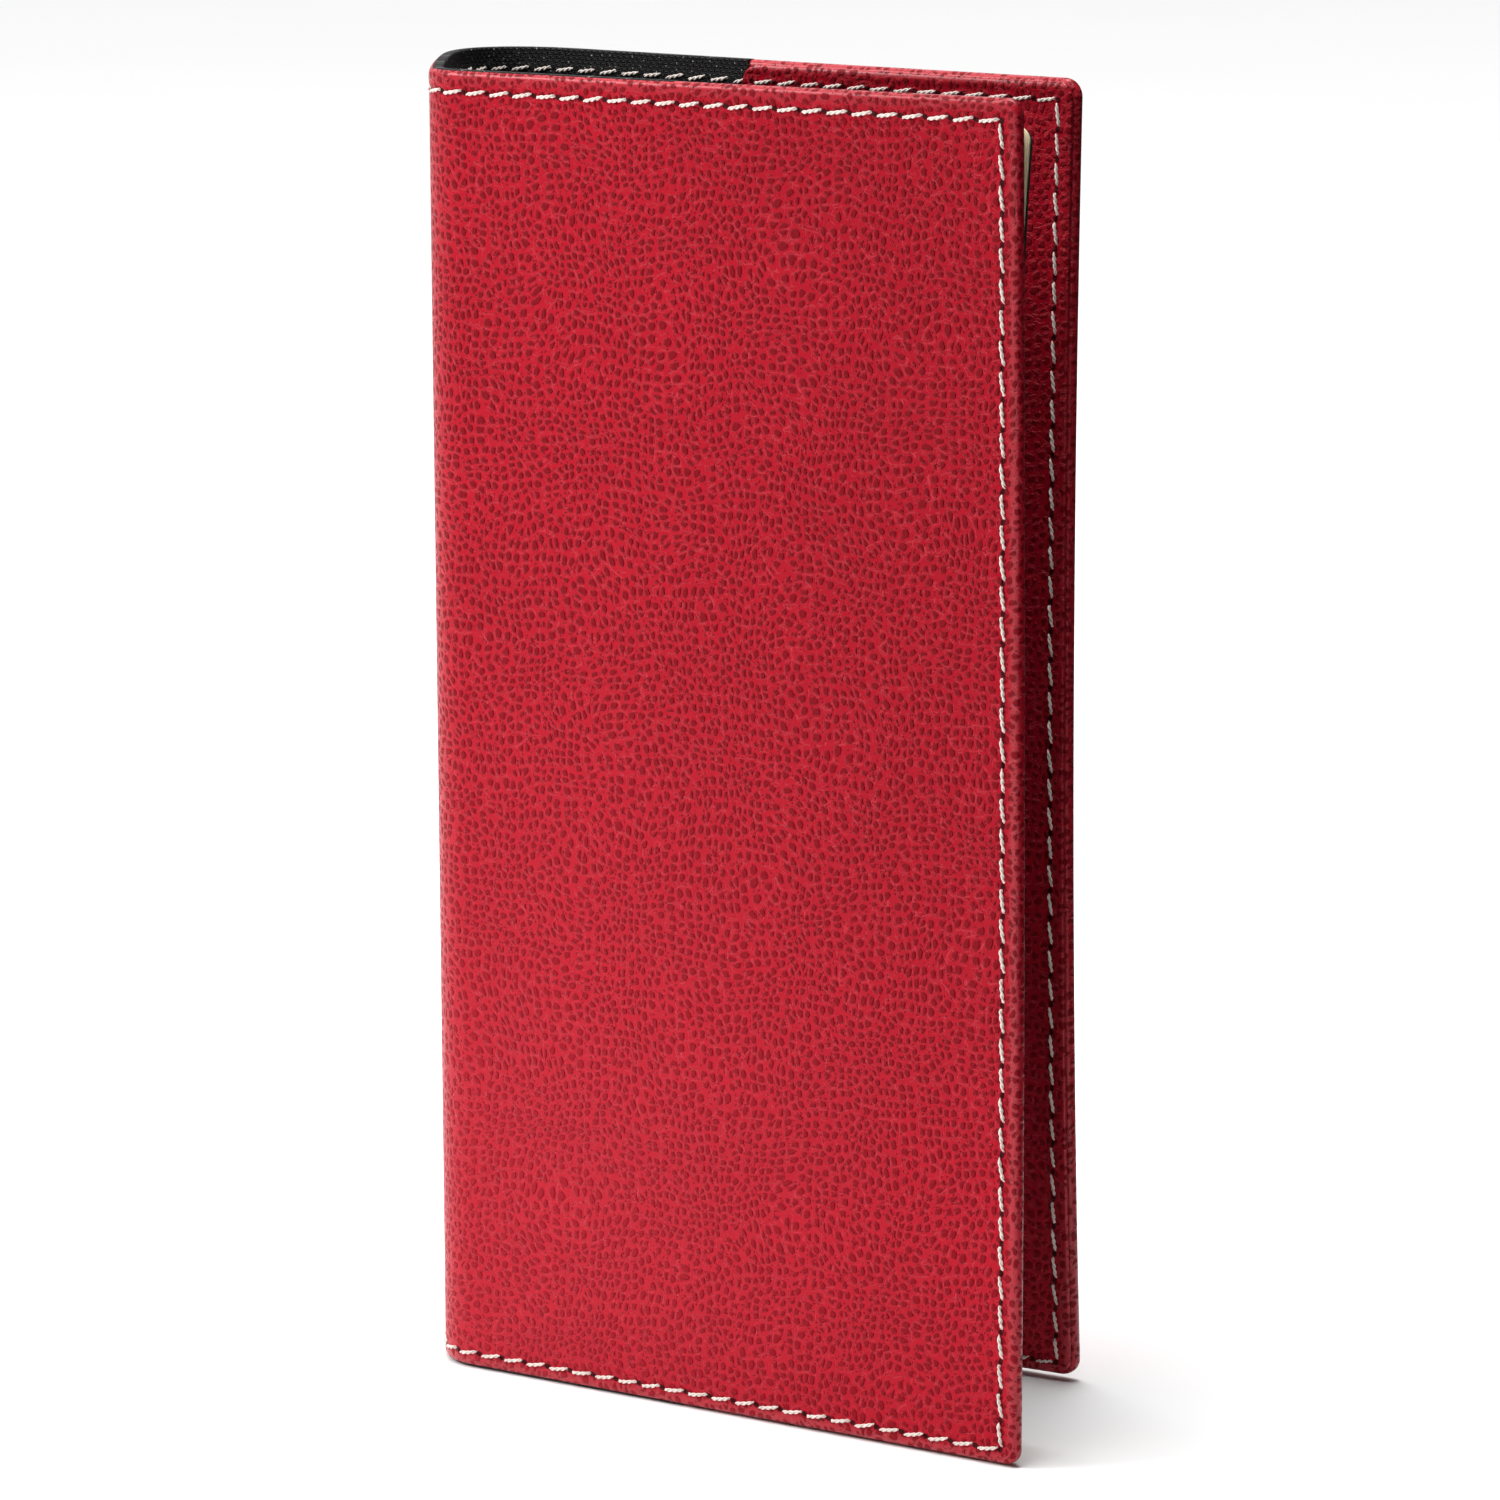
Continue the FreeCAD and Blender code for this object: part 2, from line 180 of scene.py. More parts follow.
def sheet_faces(shape, outward, far_end=True):
    """Faces of a two-sided sheet: its outer side, its inner side and the border between them."""
    count = shape[0] * shape[1]
    index = np.arange(count).reshape(shape)
    border = [index[0, ::-1], index[1:, 0], index[-1, 1:]]
    if far_end:
        border += [index[-2:0:-1, -1], index[0, -1:]]
    border = np.concatenate(border)
    quads = np.stack([border[:-1], border[1:], border[1:] + count, border[:-1] + count], 1)
    return np.concatenate([grid_faces(shape, 0, not outward), grid_faces(shape, count, outward),
                           quads if outward else quads[:, ::-1]])


def round_corner(e, z, distance, side, corner, ends, sign=1):
    """Moves grid places in the two square corners on one side on to round ones.

    side is the distance to that side, and sign is 1 where e grows away from it. Gives the
    new places and the distance of each to the rounded edge.
    """
    if not corner:
        return e, z, distance
    tail, head = z - ends[0], ends[1] - z
    up = np.minimum(tail, head)
    inside = (side < corner) & (up < corner)
    a, b = np.clip(1 - side / corner, 0, 1), np.clip(1 - up / corner, 0, 1)
    a2, b2 = a * np.sqrt(1 - b**2 / 2), b * np.sqrt(1 - a**2 / 2)
    e = np.where(inside, e + sign * corner * (a - a2), e)
    z = np.where(inside, z + np.where(tail < head, 1, -1) * corner * (b - b2), z)
    rounded = corner * (1 - np.sqrt(np.clip(a2**2 + b2**2, 0, 1)))
    return e, z, np.where(inside, rounded, distance)


def joined(parts):
    """Several sets of points, faces and flat places as one set."""
    points, faces, places, first = [], [], [], 0
    for part_points, part_faces, part_places in parts:
        points.append(part_points)
        faces.append(part_faces + first)
        places.append(part_places)
        first += len(part_points)
    return np.concatenate(points), np.concatenate(faces), np.concatenate(places)


def make_piece(name, points, faces, fields, material, smooth=True):
    """A mesh object with per-point vector fields, such as where on the flat sheet each point is."""
    mesh = bpy.data.meshes.new(name)
    mesh.from_pydata(np.asarray(points).tolist(), [], [list(map(int, f)) for f in faces])
    mesh.validate()
    for field, values in fields.items():
        attribute = mesh.attributes.new(field, "FLOAT_VECTOR", "POINT")
        attribute.data.foreach_set("vector", np.asarray(values, np.float32).ravel())
    mesh.polygons.foreach_set("use_smooth", [smooth] * len(mesh.polygons))
    mesh.materials.append(material)
    mesh.update()
    piece = bpy.data.objects.new(name, mesh)
    bpy.context.scene.collection.objects.link(piece)
    return piece


def bend_front(piece):
    """Bakes a piece's place into its mesh."""
    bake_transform(piece)


def bend_back(piece):
    """Bakes a piece's place into its mesh."""
    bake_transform(piece)


# ---------------------------------------------------------------- pin-grain leatherette
# Red polyurethane leatherette, embossed with a pin grain: rounded pits about 1 mm across,
# smaller ones on the flats between them, and fine creases.

class Nodes:
    """A node tree being wired up."""

    def __init__(self, tree):
        self.tree = tree

    def put(self, socket, value):
        """Links another node's socket, or sets a constant."""
        if isinstance(value, bpy.types.NodeSocket):
            self.tree.links.new(value, socket)
        else:
            socket.default_value = value

    def wire(self, node, **values):
        for name, value in values.items():
            self.put(node.inputs[name.replace("_", " ")], value)

    def add(self, kind, inputs=None, **settings):
        node = self.tree.nodes.new("ShaderNode" + kind)
        for key, value in settings.items():
            setattr(node, key, value)
        for key, value in (inputs or {}).items():
            self.put(node.inputs[key], value)
        return node

    def math(self, operation, a, b=0.0, clamp=False):
        return self.add("Math", {0: a, 1: b}, operation=operation, use_clamp=clamp).outputs[0]

    def plus(self, a, b):
        return self.math("ADD", a, b)

    def minus(self, a, b):
        return self.math("SUBTRACT", a, b)

    def times(self, a, b):
        return self.math("MULTIPLY", a, b)

    def vector(self, operation, a, b):
        return self.add("VectorMath", {0: a, 1: b}, operation=operation).outputs[0]

    def ramp(self, value, low, high, to_low=0.0, to_high=1.0):
        node = self.add(
            "MapRange",
            {"Value": value, "From Min": low, "From Max": high, "To Min": to_low, "To Max": to_high},
            interpolation_type="SMOOTHSTEP",
        )
        return node.outputs["Result"]

    def mix(self, share, a, b):
        return self.add("Mix", {0: share, 6: a, 7: b}, data_type="RGBA").outputs[2]

    def noise(self, place, scale, detail, dimensions="2D", **more):
        return self.add("TexNoise", {"Vector": place, "Scale": scale, "Detail": detail, **more},
                        noise_dimensions=dimensions)

    def wander(self, place, noise, amount):
        """The place, pushed up to half of amount mm each way by a noise."""
        centred = self.vector("SUBTRACT", noise.outputs["Color"], (0.5, 0.5, 0.5))
        push = self.add("VectorMath", {0: centred, "Scale": amount}, operation="SCALE").outputs[0]
        return self.vector("ADD", place, push)

    def cells(self, place, randomness, feature="F1", scale=1.0):
        return self.add("TexVoronoi", {"Vector": place, "Scale": scale, "Randomness": randomness},
                        voronoi_dimensions="2D", feature=feature)

    def cell_share(self, cells, channel):
        """A random number for each cell."""
        return self.add("SeparateColor", {"Color": cells.outputs["Color"]}).outputs[channel]

    def field(self, name):
        """One of the mesh's per-point vectors."""
        return self.add("Attribute", attribute_name=name, attribute_type="GEOMETRY").outputs["Vector"]

    def bump(self, height_mm):
        return self.add("Bump", {"Height": height_mm, "Distance": MM, "Strength": 1.0}).outputs[0]


def new_group(name, outputs, **inputs):
    """A shader node group that takes a place in mm, and any more numbers named with a default."""
    tree = bpy.data.node_groups.new(name, "ShaderNodeTree")
    tree.interface.new_socket("Place", in_out="INPUT", socket_type="NodeSocketVector")
    for title, default in inputs.items():
        tree.interface.new_socket(title, in_out="INPUT", socket_type="NodeSocketFloat").default_value = default
    for title in outputs:
        tree.interface.new_socket(title, in_out="OUTPUT", socket_type="NodeSocketFloat")
    return Nodes(tree), tree.nodes.new("NodeGroupInput").outputs, tree.nodes.new("NodeGroupOutput")


def new_material(name, **constants):
    material = bpy.data.materials.new(name)
    material.use_nodes = True
    material.node_tree.nodes.clear()
    nodes = Nodes(material.node_tree)
    shader = nodes.add("BsdfPrincipled")
    nodes.add("OutputMaterial", {0: shader.outputs[0]})
    nodes.wire(shader, **constants)
    return material, nodes, shader


def make_pin_grain():
    """Pits, creases and height of the pin grain, for a place on the sheet in mm."""
    nodes, given, result = new_group("pin_grain", ["Pits", "Creases", "Height", "Shade"])
    place = given["Place"]
    broad = nodes.noise(place, 1 / 16.0, 1.0, "4D", W=1.0)
    near = nodes.noise(place, 1 / 3.2, 1.0, "4D", W=5.0)
    rows = nodes.wander(nodes.wander(place, broad, 7.0), near, 0.9)

    squeezed = nodes.vector("MULTIPLY", rows, (0.75, 0.70, 1.0))
    cells = nodes.cells(squeezed, 0.7)
    edges = nodes.cells(squeezed, 0.7, "DISTANCE_TO_EDGE").outputs["Distance"]
    wobble = nodes.noise(place, 2.2, 2.0).outputs["Fac"]
    ragged = nodes.times(nodes.minus(wobble, 0.5), 0.3)
    ridge = nodes.ramp(nodes.cell_share(cells, 0), 0.0, 1.0, 0.24, 0.1)
    inside = nodes.minus(nodes.plus(edges, ragged), ridge)
    spot = nodes.ramp(nodes.plus(cells.outputs["Distance"], ragged), 0.45, 0.27)
    pits = nodes.times(nodes.ramp(inside, -0.08, 0.12), spot)

    small = nodes.cells(nodes.vector("MULTIPLY", rows, (1.5, 1.6, 1.0)), 0.95)
    chosen = nodes.ramp(nodes.cell_share(small, 1), 0.35, 0.5)
    dots = nodes.times(nodes.ramp(small.outputs["Distance"], 0.28, 0.12), chosen)
    between = nodes.ramp(nodes.minus(0.1, inside), 0.12, 0.22)
    dots = nodes.times(nodes.times(dots, between), 0.75)
    all_pits = nodes.math("MAXIMUM", pits, dots)

    long_cells = nodes.vector("MULTIPLY", rows, (0.3, 0.66, 1.0))
    lines = nodes.cells(long_cells, 1.0, "DISTANCE_TO_EDGE").outputs["Distance"]
    crease = nodes.math("MAXIMUM", nodes.ramp(edges, 0.07, 0.0), nodes.ramp(lines, 0.07, 0.0))
    flat = nodes.math("SUBTRACT", 1.0, all_pits, clamp=True)
    patchy = nodes.noise(place, 0.7, 1.0).outputs["Fac"]
    crease = nodes.times(nodes.times(crease, flat), nodes.ramp(patchy, 0.4, 0.65))

    fine = nodes.times(nodes.noise(place, 7.0, 3.0).outputs["Fac"], 0.16)
    height = nodes.plus(nodes.minus(fine, all_pits), nodes.times(crease, 0.35))
    shade = nodes.noise(place, 0.045, 2.0).outputs["Fac"]
    nodes.wire(result, Pits=all_pits, Creases=crease, Height=height, Shade=shade)
    return nodes.tree


PIN_GRAIN = make_pin_grain()
HEAD_MARGIN, TAIL_MARGIN, FORE_MARGIN = 2.8, 1.9, 2.6
STITCH = 3.85
LONG_COUNT = round((CASE_LENGTH - 2 * FORE_MARGIN) / STITCH)
LONG_PITCH = (CASE_LENGTH - 2 * FORE_MARGIN) / LONG_COUNT
FORE_COUNT = 44
FORE_PITCH = (CASE_HEIGHT - HEAD_MARGIN - TAIL_MARGIN) / FORE_COUNT
PAST_ROW = 0.6


def make_needle_holes():
    """Holes, to be drawn dark with painted shade, and pulled-in dimples where the needle went through, along head,
    tail and fore edge.
    """
    nodes, given, result = new_group("needle_holes", ["Holes", "Pull"])
    axes = nodes.add("SeparateXYZ", {"Vector": given["Place"]})
    e, z = axes.outputs[0], axes.outputs[1]
    far_off = 50.0

    def row(along, across, start, pitch):
        """Distance in mm to the nearest hole of one row, with the first hole at start."""
        phase = nodes.math("DIVIDE", nodes.minus(along, start), pitch)
        near = nodes.times(nodes.minus(phase, nodes.math("ROUND", phase)), pitch * 0.8)
        after = nodes.ramp(along, start - PAST_ROW, start - 0.4)
        away = nodes.math("SQRT", nodes.plus(nodes.times(near, near), nodes.times(across, across)))
        return nodes.plus(away, nodes.times(nodes.minus(1.0, after), far_off))

    head_row = CASE_HEIGHT - HEAD_MARGIN
    head = row(e, nodes.minus(z, head_row), FORE_MARGIN, LONG_PITCH)
    tail = row(e, nodes.minus(z, TAIL_MARGIN), FORE_MARGIN, LONG_PITCH)
    fore = row(z, nodes.minus(e, FORE_MARGIN), TAIL_MARGIN, FORE_PITCH)
    fore = nodes.plus(fore, nodes.times(nodes.ramp(z, head_row + 0.4, head_row + PAST_ROW), far_off))
    nearest = nodes.math("MINIMUM", nodes.math("MINIMUM", head, tail), fore)
    nodes.wire(result, Holes=nodes.ramp(nearest, 0.46, 0.26), Pull=nodes.ramp(nearest, 1.1, 0.1))
    return nodes.tree


NEEDLE_HOLES = make_needle_holes()


def make_leather():
    """Red, darker in the pits (their own colour and painted shade), with painted shade towards the upper fore edge,
    paler with a painted sheen towards the tail and the spine, painted glints on the creases, painted shade in the
    needle holes, and glossy at the rim.
    """
    skin_red, shaded_red = (0.425, 0.0058, 0.0185, 1), (0.345, 0.004, 0.0145, 1)
    painted_sheen_red, painted_glint_red = (0.49, 0.024, 0.040, 1), (0.54, 0.038, 0.055, 1)
    pit_red_and_painted_shade, painted_hole_shade_red = (0.14, 0.0006, 0.004, 1), (0.012, 0.001, 0.002, 1)
    material, nodes, shader = new_material(
        "red_leatherette", IOR=1.5, Specular_IOR_Level=0.22, Specular_Tint=(1.0, 0.17, 0.2, 1.0),
        Coat_Roughness=0.28,
    )
    sheet_at = nodes.field("sheet_at")
    grain = nodes.add("Group", {"Place": nodes.field("grain_at")}, node_tree=PIN_GRAIN).outputs
    holes = nodes.add("Group", {"Place": sheet_at}, node_tree=NEEDLE_HOLES).outputs
    axes = nodes.add("SeparateXYZ", {"Vector": sheet_at})
    e, z = axes.outputs[0], axes.outputs[1]

    # Painted shade: darker towards the upper fore edge, where less light reaches.
    painted_shade_to_fore_edge = nodes.times(nodes.ramp(e, 75.0, 5.0, 0.0, 0.8), nodes.ramp(z, 10.0, 90.0, 0.35, 1.2))
    tone_and_painted_shade = nodes.math("ADD", nodes.ramp(grain["Shade"], 0.3, 0.7, 0.0, 0.3), painted_shade_to_fore_edge, clamp=True)
    colour = nodes.mix(tone_and_painted_shade, skin_red, shaded_red)
    # Painted sheen: paler and greyer towards the tail and the spine, with the pits drawn less dark there.
    painted_sheen = nodes.times(nodes.ramp(z, 130.0, 10.0), nodes.ramp(e, 5.0, 85.0, 0.3, 1.0))
    painted_sheen = nodes.times(painted_sheen, nodes.ramp(grain["Shade"], 0.2, 0.6, 0.75, 1.0))
    colour = nodes.mix(nodes.times(painted_sheen, 0.55), colour, painted_sheen_red)
    # Painted glint: the creases drawn lighter, as light catching on the ridges.
    colour = nodes.mix(nodes.times(grain["Creases"], 0.6), colour, painted_glint_red)
    # The pits drawn darker, partly in their own colour and partly as painted shade.
    deep = nodes.times(grain["Pits"], nodes.minus(0.78, nodes.times(painted_sheen, 0.42)))
    colour = nodes.mix(deep, colour, pit_red_and_painted_shade)
    # Painted shade in the needle holes.
    colour = nodes.mix(nodes.times(holes["Holes"], 0.96), colour, painted_hole_shade_red)

    from_end = nodes.math("MINIMUM", z, nodes.minus(CASE_HEIGHT, z))
    pressed = nodes.ramp(nodes.math("MINIMUM", from_end, e), 1.9, 0.9)
    pressed = nodes.times(pressed, nodes.minus(1.0, nodes.times(grain["Pits"], 0.9)))
    height = nodes.minus(nodes.times(grain["Height"], 0.24), nodes.times(holes["Pull"], 0.16))
    nodes.wire(shader, Base_Color=colour, Roughness=nodes.plus(nodes.times(grain["Pits"], 0.2), 0.34),
               Coat_Weight=nodes.times(pressed, 0.55), Normal=nodes.bump(height))
    return material


LEATHER = make_leather()


# ---------------------------------------------------------------- cover skins
# The outside of the case: one sheet of leatherette turned in over a thin board at head,
# tail and both fore edges, which leaves a soft rolled edge 1.8 mm thick.

EDGE_DEPTH = 1.8
ROLL = 0.8
CORNERS = {"front": 2.0, "back": 2.5}
CLOSE = [0.0, 0.06, 0.15, 0.3, 0.5, 0.75, 1.0, 1.25, 1.5, 1.75, 2.0, 2.3, 2.6, 2.9, 3.2, 3.6, 4.0, 4.5, 5.0]
GRID_STEP = 0.9625


def spaced(length, far_end_close):
    """Places from a free edge, close together near it."""
    middle_end = length - CLOSE[-1] if far_end_close else length
    count = int(round((middle_end - CLOSE[-1]) / GRID_STEP))
    places = CLOSE + list(np.linspace(CLOSE[-1], middle_end, count + 1)[1:])
    if far_end_close:
        places += [length - c for c in CLOSE[-2::-1]]
    return np.array(places)


def roll_in(distance, radius):
    """How far a rolled edge stands in from the face, at a distance from the edge."""
    past = np.clip(radius - distance, 0, radius)
    return radius - np.sqrt(radius**2 - past**2)


def roll_arc(distance, radius):
    """How much longer the leather is than its plan distance, over the rolled edge."""
    past = np.clip((radius - distance) / radius, 0, 1)
    return radius * (np.arcsin(past) - past)


def seam_groove(e, z):
    """How deep the thread pulls the leather in, with a little more at each needle hole."""
    total = np.zeros_like(e)
    head, tail = CASE_HEIGHT - HEAD_MARGIN, TAIL_MARGIN
    rows = [
        (z - head, (e - FORE_MARGIN) / LONG_PITCH, e > FORE_MARGIN - PAST_ROW),
        (z - tail, (e - FORE_MARGIN) / LONG_PITCH, e > FORE_MARGIN - PAST_ROW),
        (e - FORE_MARGIN, (z - tail) / FORE_PITCH, (z > tail - PAST_ROW) & (z < head + PAST_ROW)),
    ]
    for across, stitches, here in rows:
        pull = 0.15 + 0.05 * np.cos(stitches * 2 * math.pi)
        total = np.maximum(total, np.where(here, pull * np.exp(-((across / 0.6) ** 2)), 0))
    return total


def cover_skin(name, side):
    z0, e0 = np.meshgrid(spaced(CASE_HEIGHT, True), spaced(HALVES[side], False), indexing="ij")
    nearest = np.minimum(np.minimum(z0, CASE_HEIGHT - z0), e0)
    e, z, distance = round_corner(e0, z0, nearest, e0, CORNERS[side], (0.0, CASE_HEIGHT))
    puff = 0.05 * np.exp(-(((distance - 1.55) / 0.8) ** 2)) * (distance > 0.3)
    outer = roll_in(distance, ROLL) + seam_groove(e, z) - puff
    settled = np.clip((distance - 1.3) / 1.2, 0, 1)
    inner = EDGE_DEPTH - roll_in(distance, ROLL) - 0.25 * settled**2 * (3 - 2 * settled)

    arc, full = roll_arc(distance, ROLL), roll_arc(0.0, ROLL)
    by_head = CASE_HEIGHT - z < z
    by_fore = e < np.minimum(CASE_HEIGHT - z, z)
    grain_e = e - arc * by_fore
    grain_z = z + arc * np.where(by_head, 1.0, -1.0) * ~by_fore
    edge_z = np.where(by_head, CASE_HEIGHT + full, -full)
    under_e = np.where(by_fore, -2 * full - grain_e, grain_e)
    under_z = np.where(by_fore, grain_z, 2 * edge_z - grain_z)

    def flat_places(e_values, z_values):
        return np.stack([e_values.ravel(), z_values.ravel(), np.zeros(e.size)], 1)

    no_seam = np.full(e.size, -40.0)
    s = case_side(e, side)
    points = np.concatenate([case_points(s, z, depth).reshape(-1, 3) for depth in (outer, inner)])
    fields = {
        "grain_at": np.concatenate([flat_places(case_side(grain_e, side), grain_z),
                                    flat_places(case_side(under_e, side), under_z)]),
        "sheet_at": np.concatenate([flat_places(e, z), flat_places(no_seam, no_seam)]),
    }
    faces = sheet_faces(e.shape, side == "front", far_end=False)
    return make_piece(name, points, faces, fields, LEATHER)


cover_front = cover_skin("cover_front", "front")
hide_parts("front_cover_skin", "front_fold_skin", "spine_skin")
bend_front(cover_front)
cover_back = cover_skin("cover_back", "back")
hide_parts("back_cover_skin", "back_fold_skin")
bend_back(cover_back)


# ---------------------------------------------------------------- layers inside the cover
# Thin grey board stiffens each cover panel. A black canvas lining is glued over the inside
# of the spine and the open part of each cover, and runs on under the pocket flaps.

def spread(low, high, step, near):
    """Grid places from low to high, with extra ones near both ends."""
    count = max(2, int(round((high - low) / step)))
    places = set(np.round(np.linspace(low, high, count + 1), 5))
    for offset in near:
        if 2 * offset < high - low:
            places |= {round(low + offset, 5), round(high - offset, 5)}
    kept = []
    for value in sorted(places):
        if not kept or value - kept[-1] > 0.02:
            kept.append(value)
    kept[-1] = max(places)
    return np.array(kept)


def layer(name, side, e_range, z_range, depths, roll, corners, material, open_end=False,
          steps=(3.0, 4.0), lift=None, grain_shift=(0.0, 0.0)):
    """A flat layer of the case with rolled edges.

    e_range and z_range run from the fore edge and the tail, depths in from the outer face.
    corners has the radii at the fore end and at the far end, which stays square if open.
    """
    near = [roll * f for f in (0.15, 0.45, 1.0, 1.8)]
    for corner in set(corners) - {0.0}:
        near += [corner * f for f in (0.2, 0.4, 0.6, 0.8, 1.0)]
    z, e = np.meshgrid(spread(*z_range, steps[1], near), spread(*e_range, steps[0], near), indexing="ij")
    fore, far = e - e_range[0], e_range[1] - e
    distance = np.minimum(np.minimum(z - z_range[0], z_range[1] - z), fore)
    if not open_end:
        distance = np.minimum(distance, far)
    e, z, distance = round_corner(e, z, distance, fore, corners[0], z_range)
    if not open_end:
        e, z, distance = round_corner(e, z, distance, far, corners[1], z_range, -1)
    raised = lift(e, z) if lift else 0.0
    outer = depths[0] + roll_in(distance, roll) + raised
    inner = depths[1] - roll_in(distance, roll) + raised

    s = case_side(e, side)
    points = np.concatenate([case_points(s, z, depth).reshape(-1, 3) for depth in (outer, inner)])
    grain_e = e if side == "front" else -e
    sheet = np.stack([grain_shift[0] + grain_e.ravel(), grain_shift[1] + z.ravel(), np.zeros(e.size)], 1)
    plain = np.stack([e.ravel(), z.ravel(), distance.ravel()], 1)
    fields = {"grain_at": np.concatenate([sheet + (0, 0, 9.0), sheet]), "sheet_at": np.concatenate([plain, plain])}
    return make_piece(name, points, sheet_faces(e.shape, side == "front"), fields, material)


def make_plain_weave():
    """Canvas: threads going over and under in turn, with a few pale specks of lint."""
    nodes, given, result = new_group("plain_weave", ["Height", "Gaps", "Lint", "Uneven"], Thread=0.45)
    place = given["Place"]
    uneven = nodes.noise(place, 0.5, 3.0)
    axes = nodes.add("SeparateXYZ", {"Vector": nodes.wander(place, uneven, 0.35)})
    across = nodes.math("DIVIDE", axes.outputs[0], given["Thread"])
    upward = nodes.math("DIVIDE", axes.outputs[1], given["Thread"])

    def wave(value, shift=0.0):
        return nodes.math("SINE", nodes.times(nodes.plus(value, shift), math.pi))

    def crown(value):
        return nodes.math("ABSOLUTE", wave(value))

    checker = nodes.times(wave(across, 0.5), wave(upward, 0.5))
    weft = nodes.times(crown(upward), nodes.ramp(checker, -0.2, 0.35))
    warp = nodes.times(crown(across), nodes.ramp(checker, 0.2, -0.35))
    height = nodes.math("MAXIMUM", weft, warp)
    fibre = nodes.times(nodes.noise(place, 9.0, 2.0).outputs["Fac"], 0.35)
    lint = nodes.cells(place, 1.0, scale=0.7)
    few = nodes.ramp(nodes.cell_share(lint, 0), 0.45, 0.5)
    specks = nodes.times(nodes.ramp(lint.outputs["Distance"], 0.11, 0.05), few)
    nodes.wire(result, Height=nodes.plus(height, fibre), Gaps=nodes.ramp(height, 0.55, 0.1), Lint=specks,
               Uneven=uneven.outputs["Fac"])
    return nodes.tree


PLAIN_WEAVE = make_plain_weave()


def make_canvas():
    black, worn_black = (0.012, 0.011, 0.0112, 1), (0.027, 0.0245, 0.025, 1)
    painted_gap_shade_black, painted_hole_shade_black, lint_grey = (0.0008, 0.0007, 0.0008, 1), (0.002, 0.002, 0.002, 1), (0.42, 0.40, 0.38, 1)
    material, nodes, shader = new_material("black_canvas", IOR=1.45, Specular_IOR_Level=0.22)
    weave = nodes.add("Group", {"Place": nodes.field("grain_at"), "Thread": 0.52}, node_tree=PLAIN_WEAVE).outputs
    holes = nodes.add("Group", {"Place": nodes.field("sheet_at")}, node_tree=NEEDLE_HOLES).outputs
    colour = nodes.mix(weave["Uneven"], black, worn_black)
    # Painted shade in the gaps between the threads.
    colour = nodes.mix(weave["Gaps"], colour, painted_gap_shade_black)
    colour = nodes.mix(nodes.times(weave["Lint"], 0.75), colour, lint_grey)
    # Painted shade in the needle holes.
    colour = nodes.mix(holes["Holes"], colour, painted_hole_shade_black)
    height = nodes.minus(nodes.times(weave["Height"], 0.24), nodes.times(holes["Pull"], 0.15))
    nodes.wire(shader, Base_Color=colour, Roughness=nodes.ramp(weave["Height"], 0.2, 1.1, 0.9, 0.42),
               Normal=nodes.bump(height))
    return material


CANVAS = make_canvas()


def make_pulp(name, base, dark, fleck, bump_mm=0.02, rough=0.8):
    """Paper, card or board: pulp fibres in a slightly uneven sheet."""
    material, nodes, shader = new_material(name, IOR=1.45)
    place = nodes.field("grain_at")
    cloud = nodes.noise(place, 0.12, 4.0, "3D").outputs["Fac"]
    fibres_at = nodes.vector("MULTIPLY", place, (2.2, 0.7, 1.0))
    fibres = nodes.noise(fibres_at, 2.0, 4.0, "3D", Distortion=1.5).outputs["Fac"]
    colour = nodes.mix(nodes.ramp(cloud, 0.35, 0.7), base, dark)
    colour = nodes.mix(nodes.ramp(fibres, 0.58, 0.75, 0.0, 0.6), colour, fleck)
    nodes.wire(shader, Base_Color=colour, Roughness=nodes.ramp(fibres, 0.3, 0.7, rough - 0.08, rough + 0.08),
               Normal=nodes.bump(nodes.times(fibres, bump_mm)))
    return material


BOARD = make_pulp("grey_board", (0.21, 0.20, 0.18, 1), (0.17, 0.16, 0.145, 1), (0.34, 0.32, 0.29, 1), 0.05)
BOARD_EDGE = 2.0
for side, body, flat_length in (("front", "front_cover", FRONT_FLAT), ("back", "back_cover", BACK_FLAT)):
    board = layer(side + "_board", side, (BOARD_EDGE, flat_length - 0.5), (BOARD_EDGE, CASE_HEIGHT - BOARD_EDGE),
                  (0.8, 1.3), 0.1, (1.0, 1.0), BOARD)
    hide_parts(side + "_stiffener")
    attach(board, body)

LINING_FACE = 1.95
LINING_PAST = 0.06
FLAP_DEPTH = 54.0
for side, body, bend, nodes_replaced in (
    ("front", "front_cover", bend_front, ("front_lining", "front_fold_lining", "spine_lining")),
    ("back", "back_cover", bend_back, ("back_lining", "back_fold_lining")),
):
    lining = layer("canvas_lining_" + side, side, (FLAP_DEPTH - 0.5, HALVES[side]),
                   (-LINING_PAST, CASE_HEIGHT + LINING_PAST), (0.45, LINING_FACE), 0.22, (0.0, 0.0),
                   CANVAS, open_end=True, steps=(1.5, 2.0))
    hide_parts(*nodes_replaced)
    bend(lining)
    in_pocket = layer("pocket_lining_" + side, side, (6.0, FLAP_DEPTH + 0.5), (1.2, CASE_HEIGHT - 1.2),
                      (1.3, LINING_FACE - 0.02), 0.1, (1.6, 0.0), CANVAS)
    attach(in_pocket, body)


# ---------------------------------------------------------------- pocket flaps
# A strip of the same leatherette, 54 mm wide, is sewn in over the fore side of each cover
# and makes a pocket. Its border is folded under, so it ends in a soft rounded edge.

FLAP_FACE = 2.25
FLAP_END = FLAP_DEPTH + 0.5
FLAP_BORDER = 0.45
POCKET = 0.55
SEWN_DOWN = 3.6


